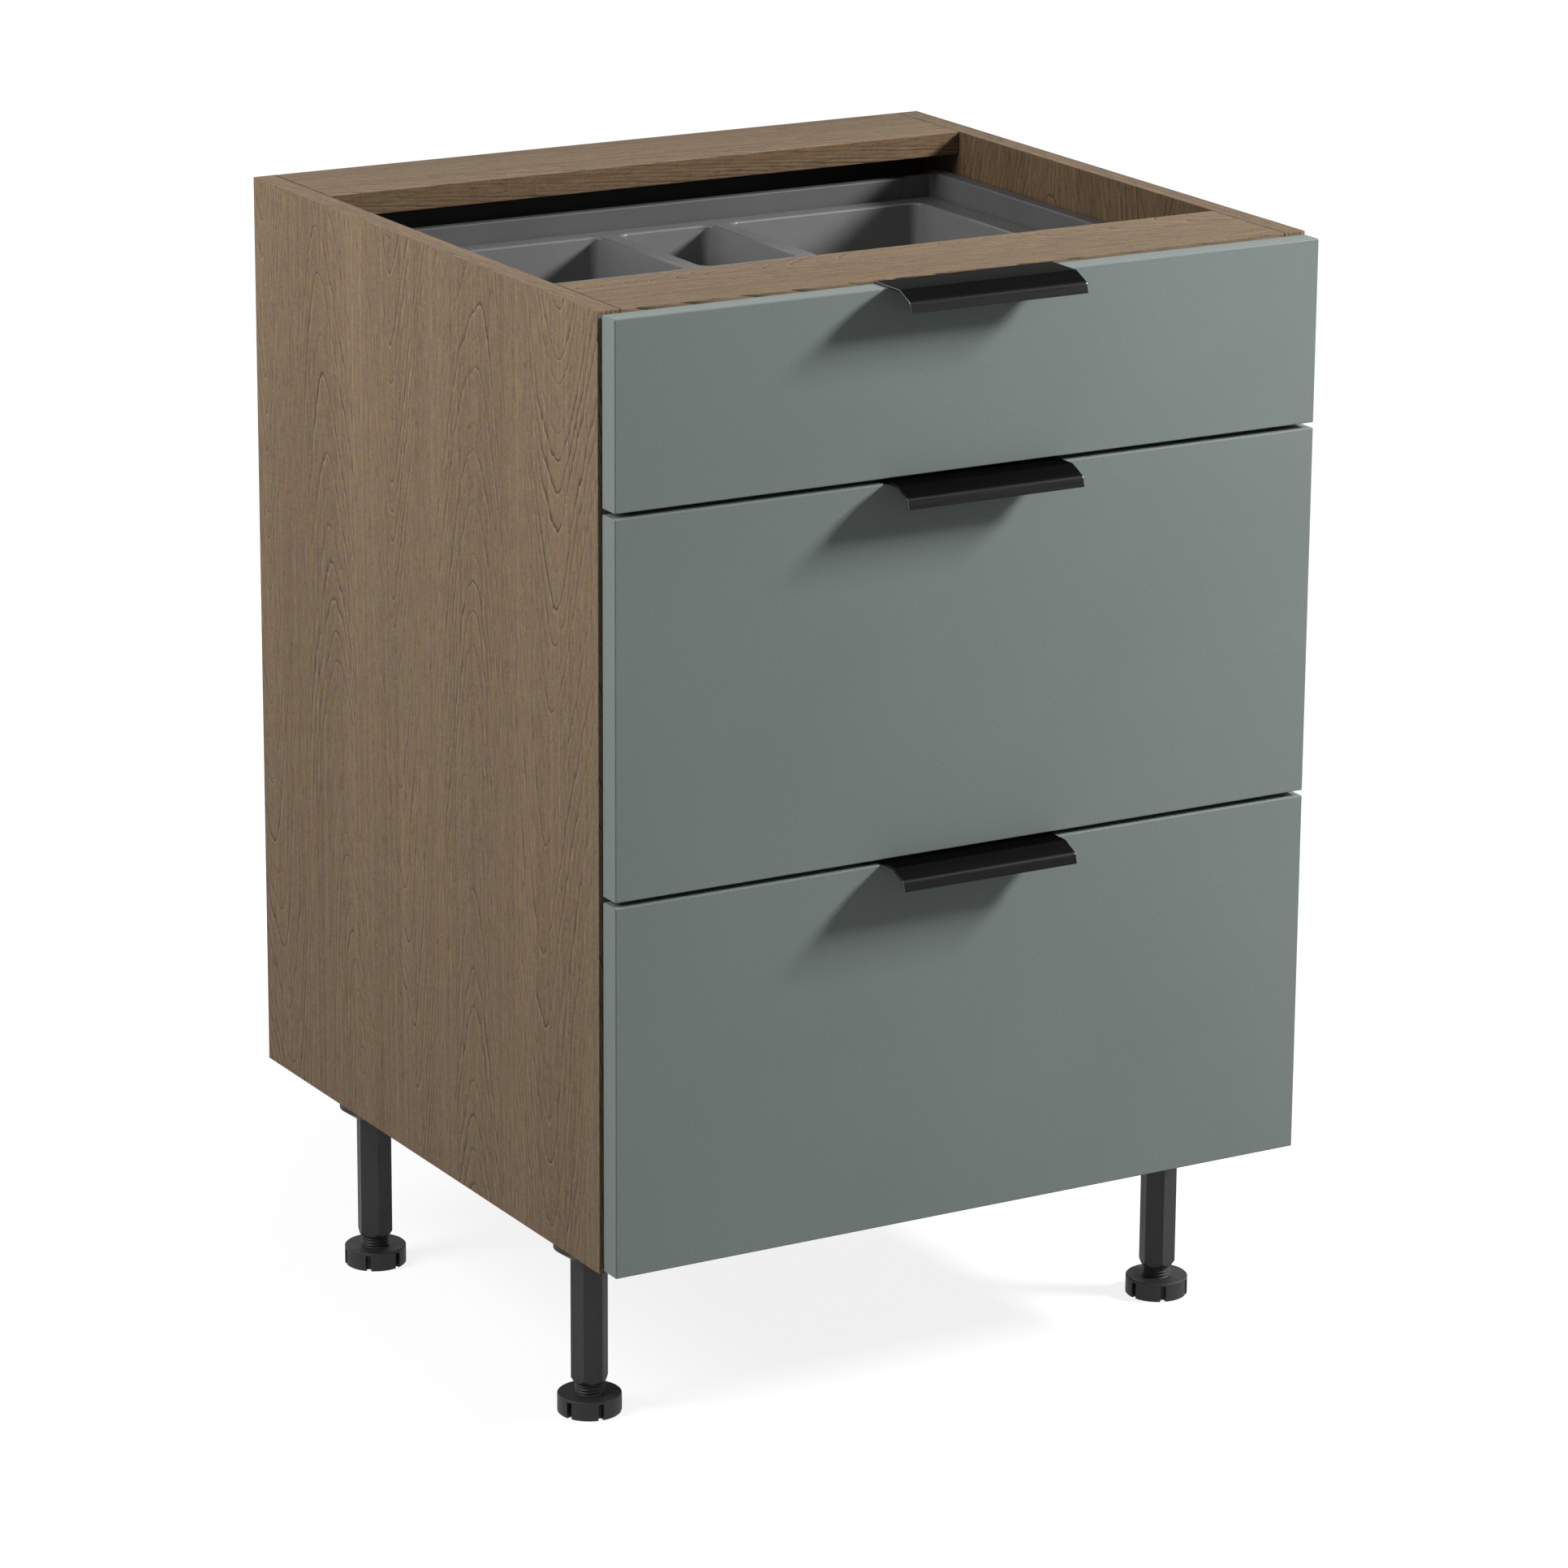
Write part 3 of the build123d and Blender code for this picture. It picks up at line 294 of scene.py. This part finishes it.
def zinc_plate(name, mark_cells):
    """Zinc plate: a cloudy grey metal with fine marks; mark_cells gives the marks per metre."""
    material, tree, skin, coords = new_finish(name, Metallic=1.0)
    place = coords.outputs["Object"]
    cloud = noise(tree, place, 45, detail=4, roughness=0.6)
    marks = noise(tree, place, mark_cells, detail=2)
    coated(tree, skin, cloud, tones=((0.50, 0.51, 0.53), (0.62, 0.63, 0.64)),
           wear=weighed(tree, cloud, 0.5, marks, 0.5), roughness=(0.28, 0.46))
    relief(tree, skin, marks, depth=0.00008, strength=0.25)
    return material


zinc = zinc_plate("zinc_plate", 900)
dress(raw_beech(), "carcass_dowels")
dress(zinc, "cam_bolts", "cam_locks", "runner_screws")


# Stop bumpers: soft clear discs stuck to the front edges of the sides, where the closing fronts land.
# They are cast from a rubber that is a little cloudy.
def clear_rubber():
    """Half clear, with a haze that whitens and roughens it."""
    material, tree, skin, coords = new_finish("clear_rubber", IOR=1.42, Transmission_Weight=0.5)
    haze = noise(tree, coords.outputs["Object"], 500, detail=3)
    colour = tint(tree, haze, (0.70, 0.71, 0.70), (0.84, 0.85, 0.84))
    tree.links.new(colour, skin.inputs["Base Color"])
    rough = remap(tree, haze, 0.3, 0.7, to_low=0.25, to_high=0.45)
    tree.links.new(rough, skin.inputs["Roughness"])
    return material


dress(clear_rubber(), "stop_bumpers")


# Legs: moulded black plastic. A cup is screwed under the bottom panel, a hexagonal shaft is pushed into
# it, and the foot with its threaded stud screws into the shaft.
def moulded_black():
    """Flow clouds drawn out upwards give tone, and with fine specks gloss and relief."""
    material, tree, skin, coords = new_finish("moulded_black", Specular_IOR_Level=0.45)
    place = coords.outputs["Object"]
    flow = noise(tree, place, (70, 70, 22), detail=4, roughness=0.6, distortion=0.6)
    specks = noise(tree, place, 1500, detail=2)
    coated(tree, skin, flow, tones=((0.008, 0.008, 0.0082), (0.016, 0.016, 0.0163)),
           wear=weighed(tree, flow, 0.6, specks, 0.4), roughness=(0.52, 0.72))
    height = calc(tree, "ADD", specks, calc(tree, "MULTIPLY", flow, 0.6))
    relief(tree, skin, height, depth=0.0002, strength=0.3)
    return material


MERGE_GAP = 1e-6


def grid_mesh(name, points, wrap, finish):
    """A piece from a grid of points, rows by columns, or from a stack of such grids: neighbours become
    faces, and wrap joins the last column to the first. Points that coincide are merged into poles."""
    rows, columns = points.shape[-3:-1]
    cell = np.arange(points.size // 3).reshape(-1, rows, columns)
    here = cell if wrap else cell[:, :, :-1]
    nxt = np.roll(cell, -1, axis=2) if wrap else cell[:, :, 1:]
    faces = np.stack([here[:, :-1], nxt[:, :-1], nxt[:, 1:], here[:, 1:]], axis=-1).reshape(-1, 4)
    mesh = bpy.data.meshes.new(name)
    mesh.from_pydata(points.reshape(-1, 3).tolist(), [], faces.tolist())
    shell = bmesh.new()
    shell.from_mesh(mesh)
    bmesh.ops.remove_doubles(shell, verts=shell.verts, dist=MERGE_GAP)
    bmesh.ops.dissolve_degenerate(shell, edges=shell.edges, dist=MERGE_GAP)
    bmesh.ops.recalc_face_normals(shell, faces=shell.faces)
    shell.to_mesh(mesh)
    shell.free()
    mesh.materials.append(finish)
    piece = bpy.data.objects.new(name, mesh)
    bpy.context.scene.collection.objects.link(piece)
    return piece


def shade_by_angle(piece, degrees):
    """Smooth shading, with edges sharper than the angle kept crisp."""
    piece.data.shade_smooth()
    piece.data.set_sharp_from_angle(angle=np.radians(degrees))


FOOT_TURN = {"front_left": 23, "front_right": 10, "back_left": 50, "back_right": 35}
FOOT_RADIUS, FOOT_HEIGHT, FOOT_EDGE, FOOT_CREASE = 0.0245, 0.015, 0.0006, 35
SLOT_COUNT, SLOT_WIDTH, SLOT_DEPTH, SLOT_ROOF = 6, 0.0044, 0.005, 0.002
SLOT_COLUMN, RIM_COLUMNS = 0.6, 10
STUD_RADIUS, STUD_CHAMFER = 0.0112, 0.0015
THREAD_PITCH, THREAD_DEPTH, ROWS_PER_PITCH = 0.0024, 0.0011, 6
FLANK_SLOPE, FLANK_SHIFT = 1.4, 0.2


def foot_grid(top, turn):
    """The foot as rows of a turned form: disc, then stud. A column's radius drops to the slot's floor
    inside a slot, and the stud's radius follows a helix: a flat-topped wave of height minus angle."""
    half, per_slot = SLOT_WIDTH / 2, 2 * np.pi / SLOT_COUNT
    mouth = np.arcsin(half / FOOT_RADIUS)
    between = np.linspace(mouth, per_slot - mouth, RIM_COLUMNS)
    angle = np.concatenate([[-SLOT_COLUMN * mouth, SLOT_COLUMN * mouth], between])
    angle = (angle + per_slot * np.arange(SLOT_COUNT)[:, None]).ravel() + np.radians(turn)
    slot_side = np.tile(np.concatenate([[-1, 1], np.zeros(RIM_COLUMNS)]), SLOT_COUNT)
    slot_floor = FOOT_RADIUS - SLOT_DEPTH
    corner = np.hypot(slot_floor, half)
    corner_angle = slot_side * (np.arctan2(half, slot_floor) - SLOT_COLUMN * mouth)

    def ring(radius, height, slotted=False):
        """One row of points; if slotted, the two columns of a slot go to the corners of its floor."""
        r = np.where((slot_side != 0) & slotted, corner, radius)
        a = angle + corner_angle if slotted else angle
        return np.stack([r * np.cos(a), r * np.sin(a), np.full(angle.shape, height)], axis=-1)

    roof = FOOT_HEIGHT - SLOT_ROOF
    disc = [ring(0.0, 0.0), ring(FOOT_RADIUS - FOOT_EDGE, 0.0, True), ring(FOOT_RADIUS, FOOT_EDGE, True),
            ring(FOOT_RADIUS, roof, True), ring(FOOT_RADIUS, roof),
            ring(FOOT_RADIUS, FOOT_HEIGHT - FOOT_EDGE), ring(FOOT_RADIUS - FOOT_EDGE, FOOT_HEIGHT)]
    heights = np.arange(FOOT_HEIGHT, top - STUD_CHAMFER, THREAD_PITCH / ROWS_PER_PITCH)[:, None]
    turns = heights / THREAD_PITCH - angle / (2 * np.pi)
    wave = np.clip(FLANK_SLOPE * np.abs(2 * (turns % 1.0) - 1.0) - FLANK_SHIFT, 0.0, 1.0)
    radius = STUD_RADIUS - THREAD_DEPTH * wave
    stud = np.stack([radius * np.cos(angle), radius * np.sin(angle),
                     np.broadcast_to(heights, radius.shape)], axis=-1)
    core = STUD_RADIUS - THREAD_DEPTH
    tip = [ring(core, top - STUD_CHAMFER), ring(core - STUD_CHAMFER, top), ring(0.0, top)]
    return np.concatenate([np.array(disc), stud, np.array(tip)])


leg_plastic = moulded_black()
for corner_name, turn in FOOT_TURN.items():
    low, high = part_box(f"{corner_name}_foot")
    axis = (low + high) / 2
    points = foot_grid(high.z, turn) + np.array([axis.x, axis.y, 0.0])
    foot = grid_mesh(f"{corner_name}_threaded_foot", points, True, leg_plastic)
    shade_by_angle(foot, FOOT_CREASE)
    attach(foot, f"{corner_name}_foot")
    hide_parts(f"{corner_name}_foot")
    dress(leg_plastic, f"{corner_name}_leg_socket", f"{corner_name}_leg_shaft")


# Leg screws: zinc-plated pan heads with a cross recess, driven up through the four holes of each cup
# into the bottom panel.
SCREW_COLUMNS, RECESS_ROWS, FACE_ROWS, SCREW_CREASE = 40, 8, 4, 40
ARM_HALF, ARM_WALL, ARM_RISE = 0.3, 0.1, 0.6
PAN_RADIUS, PAN_HEIGHT, PAN_DOME, PAN_RECESS, PAN_CROSS = 0.0036, 0.0024, 0.0005, 0.002, 0.0013
WOOD_SHANK, WOOD_LENGTH, WOOD_TIP = 0.002, 0.016, 0.003
SCREW_EDGE, SCREW_ANGLES, CUP_ROOF = 0.006, (45, 135, 225, 315), 0.003


def cross_screw(rows, recess, depth):
    """A turned screw along +Z, its head's lowest point at z = 0, from (radius, height) rows. Rows inside
    the recess radius sink by the depth within a cross, whose floor rises towards the ends of its arms."""
    radius, height = np.array(rows).T[:, :, None]
    angle = np.linspace(0, 2 * np.pi, SCREW_COLUMNS, endpoint=False)
    x, y = radius * np.cos(angle), radius * np.sin(angle)
    off_arm = np.minimum(np.abs(x), np.abs(y)) / recess
    within = np.clip((ARM_HALF - off_arm) / ARM_WALL, 0, 1) * (radius < recess)
    return np.stack([x, y, height + within * depth * (1 - ARM_RISE * radius / recess)], axis=-1)


def head_rows(face, dome, recess):
    """Rows of a head's face from its middle out, on a shallow dome."""
    spread = np.concatenate([np.linspace(0, recess, RECESS_ROWS), np.linspace(recess, face, FACE_ROWS)[1:]])
    return [(r, dome * (r / face) ** 2) for r in spread]


def drive(screw, spots, direction):
    """Copies of a screw at the spots, turned so that the shank points along the direction."""
    turn = np.array(Vector((0, 0, 1)).rotation_difference(Vector(direction)).to_matrix())
    return screw @ turn.T + np.array(spots)[:, None, None, :]


pan_screw = cross_screw(head_rows(PAN_RADIUS - PAN_DOME, PAN_DOME, PAN_RECESS)
                        + [(PAN_RADIUS, 2 * PAN_DOME), (PAN_RADIUS, PAN_HEIGHT), (WOOD_SHANK, PAN_HEIGHT),
                           (WOOD_SHANK, PAN_HEIGHT + WOOD_LENGTH - WOOD_TIP),
                           (0, PAN_HEIGHT + WOOD_LENGTH)], PAN_RECESS, PAN_CROSS)
spots = []
for corner_name in FOOT_TURN:
    low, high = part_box(f"{corner_name}_leg_socket")
    axis, circle = (low + high) / 2, (high.x - low.x) / 2 - SCREW_EDGE
    spots += [(axis.x + circle * np.cos(a), axis.y + circle * np.sin(a), high.z - CUP_ROOF - PAN_HEIGHT)
              for a in np.radians(SCREW_ANGLES)]
screws = grid_mesh("leg_pan_screws", drive(pan_screw, spots, (0, 0, 1)), True, zinc)
shade_by_angle(screws, SCREW_CREASE)
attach(screws, "carcass")
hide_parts("leg_screws")


# Runners: three nested channels on each side of each drawer, rolled from zinc-plated steel strip, so
# fine drawing lines run along their length.
DRAWERS = ("top", "middle", "bottom")
runner_steel = zinc_plate("drawn_zinc", (1600, 14, 1600))
for drawer in DRAWERS:
    for member in ("cabinet", "middle", "drawer"):
        dress(runner_steel, f"{drawer}_runner_{member}_rails")


# Drawer boxes: folded steel sides and backs with a grey powder coat, on a grey-faced chipboard bottom.
# The zinc brackets that carry the fronts sit in the hollow sides.
def powder_coat():
    """A slow cloud gives tone, and a pebbly noise gloss and relief."""
    material, tree, skin, coords = new_finish("grey_powder_coat", Specular_IOR_Level=0.25)
    place = coords.outputs["Object"]
    pebbles = noise(tree, place, 1100, detail=2)
    coated(tree, skin, noise(tree, place, 14, detail=3),
           tones=((0.098, 0.098, 0.100), (0.112, 0.112, 0.114)), wear=pebbles, roughness=(0.38, 0.52))
    relief(tree, skin, pebbles, depth=0.0001, strength=0.35)
    return material


def grey_faced_board():
    """Two noises drawn out at right angles make the linen print of the facing."""
    material, tree, skin, coords = new_finish("grey_faced_board", IOR=1.45)
    place = coords.outputs["Object"]
    warp = noise(tree, place, (260, 900, 900), detail=3)
    weft = noise(tree, place, (900, 260, 900), detail=3)
    linen = weighed(tree, warp, 0.5, weft, 0.5)
    coated(tree, skin, linen, tones=((0.105, 0.105, 0.107), (0.150, 0.150, 0.151)),
           wear=linen, roughness=(0.5, 0.65), span=(0.35, 0.65))
    relief(tree, skin, linen, depth=0.00015, strength=0.3)
    return material


steel_coat = powder_coat()
faced_board = grey_faced_board()
for drawer in DRAWERS:
    dress(steel_coat, *[f"{drawer}_drawer_{piece}" for piece in ("left_side", "right_side", "back")])
    dress(faced_board, f"{drawer}_drawer_base")
    dress(zinc, f"{drawer}_drawer_brackets")


# Drawer fronts: 19 mm fibreboard with eased edges, sprayed with a matt sage-green lacquer. Close up the
# lacquer has a fine orange-peel skin.
def sage_lacquer():
    """A slow cloud and the peel together give tone and gloss, and the peel alone the relief."""
    material, tree, skin, coords = new_finish("sage_lacquer", Specular_IOR_Level=0.25)
    place = coords.outputs["Object"]
    cloud = noise(tree, place, 6, detail=4, roughness=0.55)
    peel = noise(tree, place, 480, detail=2)
    blotch = weighed(tree, cloud, 0.4, peel, 0.6)
    coated(tree, skin, blotch, tones=((0.182, 0.216, 0.206), (0.214, 0.252, 0.240)),
           wear=blotch, roughness=(0.44, 0.54))
    relief(tree, skin, peel, depth=0.00006, strength=0.25)
    return material


lacquer = sage_lacquer()
for drawer in DRAWERS:
    dress(lacquer, f"{drawer}_drawer_front")


# Handles: edge pulls bent from 1.5 mm aluminium sheet, anodised matt black. A flange is screwed behind the
# front, the plate lies on its top edge, and a slope and a lip hang over its face. The edges of the sawn
# ends are rounded and burnished.
SHEET, FLANGE, OVERHANG = 0.0015, 0.016, 0.0145
SLOPE_RUN, SLOPE_DROP, LIP_RUN, LIP_DROP = 0.0135, 0.006, 0.002, 0.0072
REAR_BEND, BEND, BEND_STEPS, PULL_CREASE = 0.0007, 0.0025, 8, 30
EDGE_RADIUS, EDGE_STEPS, ROUND_FROM, ROUND_TO = 0.0006, 5, 0.1, 0.99
FLAT_RADIUS, FLAT_RECESS, FLAT_CROSS, SCREW_SPACING = 0.003, 0.0018, 0.001, 0.096
PULL_SHANK, PULL_LENGTH, PULL_TIP = 0.0016, 0.014, 0.002


def black_anodised():
    """Brush lines along the pull give tone, and with a fine blast gloss and relief."""
    material, tree, skin, coords = new_finish("black_anodised", Metallic=1.0,
                                              Specular_Tint=(0.42, 0.42, 0.42, 1.0))
    place = coords.outputs["Object"]
    brushed = noise(tree, place, (25, 1500, 1500), detail=2)
    blast = noise(tree, place, 1800, detail=2)
    grain = weighed(tree, brushed, 0.4, blast, 0.6)
    coated(tree, skin, brushed, tones=((0.0100, 0.0100, 0.0102), (0.0140, 0.0140, 0.0142)),
           wear=grain, roughness=(0.40, 0.54))
    relief(tree, skin, grain, depth=0.00005, strength=0.3)
    return material


def burnished_edge():
    """The rounded edges of the ends, smoother than the sheet, so that they glint; file marks vary them."""
    material, tree, skin, coords = new_finish("burnished_edge", Metallic=1.0)
    file_marks = noise(tree, coords.outputs["Object"], (700, 2500, 2500), detail=2)
    coated(tree, skin, file_marks, tones=((0.085, 0.085, 0.086), (0.115, 0.115, 0.116)),
           wear=file_marks, roughness=(0.12, 0.2))
    return material


def rounded_path(corners, radii, steps):
    """A line through the corners with each inner one replaced by a tangent arc of its radius."""
    corners = np.array(corners)
    path = [corners[:1]]
    for before, here, after, radius in zip(corners, corners[1:], corners[2:], radii):
        inward = (before - here) / np.linalg.norm(before - here)
        onward = (after - here) / np.linalg.norm(after - here)
        half_angle = np.arccos(inward @ onward) / 2
        bisector = (inward + onward) / np.linalg.norm(inward + onward)
        centre = here + bisector * radius / np.sin(half_angle)
        start = here + inward * radius / np.tan(half_angle) - centre
        sweep = np.pi - 2 * half_angle
        side = np.sign(inward[1] * onward[0] - inward[0] * onward[1])
        t = side * sweep * np.linspace(0, 1, steps)
        path.append(centre + np.stack([start[0] * np.cos(t) - start[1] * np.sin(t),
                                       start[0] * np.sin(t) + start[1] * np.cos(t)], axis=-1))
    path.append(corners[-1:])
    return np.concatenate(path)


def sheet_section(path, inset):
    """Closed outline of the sheet on the right of its inner line, drawn in by the inset all round."""
    along = np.gradient(path, axis=0)
    along /= np.linalg.norm(along, axis=1)[:, None]
    right = np.stack([along[:, 1], -along[:, 0]], axis=-1)
    line = path.copy()
    line[0] += along[0] * inset
    line[-1] -= along[-1] * inset
    inner = line + right * inset
    outer = line + right * (SHEET - inset)
    return np.concatenate([inner, outer[::-1]])


# One end as (setback, inset) rows: its closed middle, a quarter round, and the start of the full section.
quarter = [(EDGE_RADIUS * (1 - np.sin(t)), EDGE_RADIUS * (1 - np.cos(t)))
           for t in np.linspace(np.pi / 2, 0.0, EDGE_STEPS)]
end_rows = [(0.0, SHEET / 2), *quarter, (2 * EDGE_RADIUS, 0.0)]
flat_screw = cross_screw(head_rows(FLAT_RADIUS, 0.0, FLAT_RECESS)
                         + [(PULL_SHANK, FLAT_RADIUS - PULL_SHANK), (PULL_SHANK, PULL_LENGTH - PULL_TIP),
                            (0, PULL_LENGTH)], FLAT_RECESS, FLAT_CROSS)
anodised = black_anodised()
burnished = burnished_edge()
for drawer in DRAWERS:
    low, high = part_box(f"{drawer}_drawer_handle")
    front_low, front_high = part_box(f"{drawer}_drawer_front")
    back, face, edge = front_high.y, front_low.y, front_high.z
    slope_start, slope_end = face - OVERHANG, face - OVERHANG - SLOPE_RUN
    inner_line = rounded_path([(back, edge - FLANGE), (back, edge), (slope_start, edge),
                               (slope_end, edge - SLOPE_DROP),
                               (slope_end - LIP_RUN, edge - SLOPE_DROP - LIP_DROP)],
                              [REAR_BEND, BEND, BEND], BEND_STEPS)
    rows = [(low.x + setback, inset) for setback, inset in end_rows]
    rows += [(high.x - setback, inset) for setback, inset in reversed(end_rows)]
    points = np.array([np.insert(sheet_section(inner_line, inset), 0, x, axis=1) for x, inset in rows])
    pull = grid_mesh(f"{drawer}_edge_pull", points, True, anodised)
    shade_by_angle(pull, PULL_CREASE)
    pull.data.materials.append(burnished)
    facing = np.zeros(3 * len(pull.data.polygons))
    pull.data.polygons.foreach_get("normal", facing)
    endwise = np.abs(facing[::3])
    rounded = (endwise > ROUND_FROM) & (endwise < ROUND_TO)
    pull.data.polygons.foreach_set("material_index", rounded.astype(np.int32))
    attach(pull, f"{drawer}_drawer")
    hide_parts(f"{drawer}_drawer_handle")

    spots = [(x, back + SHEET, edge - FLANGE / 2) for x in (-SCREW_SPACING / 2, SCREW_SPACING / 2)]
    screws = grid_mesh(f"{drawer}_pull_screws", drive(flat_screw, spots, (0, -1, 0)), True, zinc)
    shade_by_angle(screws, SCREW_CREASE)
    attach(screws, f"{drawer}_drawer")
    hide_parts(f"{drawer}_drawer_handle_screws")


# Cutlery tray: one moulding of satin grey plastic, dropped into the top drawer. The mould was eroded, so
# the skin has a fine even grain.
def satin_grey_plastic():
    """A slow cloud gives tone, and the fine grain gloss and relief."""
    material, tree, skin, coords = new_finish("satin_grey_plastic", Specular_IOR_Level=0.35)
    place = coords.outputs["Object"]
    grain = noise(tree, place, 1400, detail=2)
    coated(tree, skin, noise(tree, place, 9, detail=3),
           tones=((0.152, 0.152, 0.154), (0.172, 0.172, 0.174)), wear=grain, roughness=(0.24, 0.34))
    relief(tree, skin, grain, depth=0.0001, strength=0.3)
    return material


dress(satin_grey_plastic(), "cutlery_tray")


# Studio: a pale floor that runs out of view, white to the camera away from the cabinet, a tall soft lamp
# on the right, a wide one on the left, and a white surround that is brighter low down than overhead.
FLOOR_HALF, UNDER_FEET, FLOOR_GREY = 40.0, 0.0003, (0.25, 0.25, 0.25, 1.0)
GLOW_NEAR, GLOW_FAR, NEAR_WHITE = 0.4, 1.4, 0.86
HORIZON_LIGHT, ZENITH_LIGHT = 0.22, 0.02


def seen_directly(tree):
    """1 for what the camera sees, straight, mirrored or through clear pieces, and 0 for other light."""
    path = shader_node(tree, "ShaderNodeLightPath", {}).outputs
    direct = calc(tree, "MAXIMUM", path["Is Camera Ray"], path["Is Glossy Ray"])
    return calc(tree, "MAXIMUM", direct, path["Is Transmission Ray"])


def pale_floor():
    """Matt grey to the lamps, so that it takes the shadow; a glow that only the camera sees lifts it to
    white away from the cabinet."""
    material = bpy.data.materials.new("pale_floor")
    material.use_nodes = True
    tree = material.node_tree
    tree.nodes.clear()
    coords = tree.nodes.new("ShaderNodeTexCoord")
    away = shader_node(tree, "ShaderNodeVectorMath", {0: coords.outputs["Object"]}, operation="LENGTH")
    lift = remap(tree, away.outputs["Value"], GLOW_NEAR, GLOW_FAR, to_low=NEAR_WHITE, to_high=1.0)
    matt = shader_node(tree, "ShaderNodeBsdfDiffuse", {"Color": FLOOR_GREY})
    strength = calc(tree, "MULTIPLY", lift, seen_directly(tree))
    glow = shader_node(tree, "ShaderNodeEmission", {"Strength": strength})
    both = shader_node(tree, "ShaderNodeAddShader", {0: matt.outputs[0], 1: glow.outputs[0]})
    shader_node(tree, "ShaderNodeOutputMaterial", {0: both.outputs[0]})
    return material


floor_side = np.array([-FLOOR_HALF, FLOOR_HALF])
floor_points = np.stack([*np.meshgrid(floor_side, floor_side), np.full((2, 2), -UNDER_FEET)], axis=-1)
floor = grid_mesh("floor", floor_points, False, pale_floor())

world = bpy.data.worlds.new("white_surround")
bpy.context.scene.world = world
world.use_nodes = True
sky = world.node_tree
surround = sky.nodes["Background"]
surround.inputs["Color"].default_value = (1.0, 1.0, 1.0, 1.0)
sky_coords = sky.nodes.new("ShaderNodeTexCoord")
direction = shader_node(sky, "ShaderNodeSeparateXYZ", {0: sky_coords.outputs["Generated"]})
sky_light = remap(sky, direction.outputs[2], 0.0, 1.0, to_low=HORIZON_LIGHT, to_high=ZENITH_LIGHT)
sky.links.new(calc(sky, "MAXIMUM", sky_light, seen_directly(sky)), surround.inputs["Strength"])


def soft_lamp(name, place, aim, width, height, watts):
    """A rectangular lamp at a place, aimed at a point."""
    data = bpy.data.lights.new(name, "AREA")
    data.shape = "RECTANGLE"
    data.size, data.size_y, data.energy = width, height, watts
    lamp = bpy.data.objects.new(name, data)
    lamp.location = place
    lamp.rotation_euler = (Vector(aim) - Vector(place)).to_track_quat("-Z", "Z").to_euler()
    lamp.visible_camera = False
    bpy.context.scene.collection.objects.link(lamp)


soft_lamp("right_strip", place=(2.02, -1.33, 1.93), aim=(0.0, -0.28, 0.6),
          width=0.35, height=0.75, watts=104)
soft_lamp("left_wide", place=(-1.62, 0.18, 1.57), aim=(-0.3, 0.0, 0.5),
          width=1.0, height=0.8, watts=26)


# Camera: a long lens in front of the cabinet and to its left, nearly a metre above its top and looking
# down on it.
CAMERA_PLACE, LENS, SENSOR = (-2.366, -4.0825, 1.809), 145.4, 36.0
AZIMUTH, ELEVATION, ROLL = -30.1, 16.44, 0.36
camera_data = bpy.data.cameras.new("camera")
camera_data.lens, camera_data.sensor_width = LENS, SENSOR
camera = bpy.data.objects.new("camera", camera_data)
look = Euler((np.radians(90 - ELEVATION), 0.0, np.radians(AZIMUTH))).to_matrix()
camera.rotation_euler = (look @ Matrix.Rotation(np.radians(ROLL), 3, "Z")).to_euler()
camera.location = CAMERA_PLACE
bpy.context.scene.collection.objects.link(camera)
bpy.context.scene.camera = camera
bpy.context.scene.view_settings.view_transform = "Standard"
